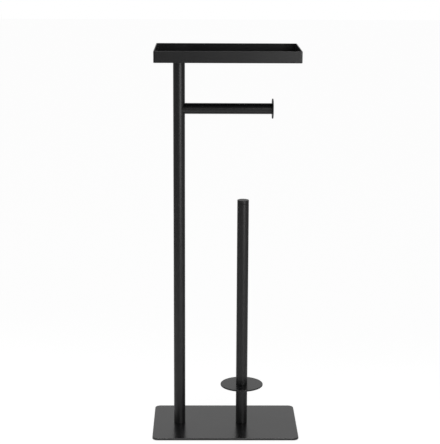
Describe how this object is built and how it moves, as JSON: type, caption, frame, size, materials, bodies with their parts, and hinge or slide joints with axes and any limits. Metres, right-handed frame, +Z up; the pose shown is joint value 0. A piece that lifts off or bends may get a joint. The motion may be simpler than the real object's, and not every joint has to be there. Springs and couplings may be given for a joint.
{
  "type": "toilet roll holder stand",
  "caption": "Free-standing steel toilet roll holder: flat base, tall post with a shallow top tray and a side arm for the roll in use, and a shorter post for spare rolls.",
  "frame": {"origin": "on the ground, under the middle of the base plate", "axes": "+Z up, +X to the side that the roll arm points to, +Y to the back"},
  "size_m": [0.203, 0.131, 0.5375],
  "materials": {
    "base_coat": "satin black powder coat",
    "post_coat": "satin black powder coat",
    "tray_coat": "satin black powder coat",
    "arm_coat": "satin black powder coat",
    "pad_rubber": "matt black rubber",
    "zinc_steel": "bright zinc plated steel"
  },
  "bodies": {
    "root": {"base_plate": "base_coat", "foot_pad_front_left": "pad_rubber", "foot_pad_front_right": "pad_rubber", "foot_pad_rear_left": "pad_rubber", "foot_pad_rear_right": "pad_rubber", "main_post": "post_coat", "main_post_foot_insert": "zinc_steel", "main_post_foot_screw": "zinc_steel", "main_post_top_insert": "zinc_steel", "arm_anchor": "zinc_steel", "tray": "tray_coat", "tray_washer": "zinc_steel", "tray_screw": "zinc_steel", "roll_arm": "arm_coat", "arm_root_insert": "zinc_steel", "arm_stud": "zinc_steel", "arm_end_disc": "arm_coat", "spare_post_lower": "post_coat", "spare_post_foot_insert": "zinc_steel", "spare_post_foot_screw": "zinc_steel", "spare_post_joint_insert_lower": "zinc_steel", "spare_post_stud": "zinc_steel", "spare_post_joint_insert_upper": "zinc_steel", "roll_rest": "arm_coat", "spare_post_upper": "post_coat", "spare_post_cap": "post_coat"}
  },
  "joints": []
}
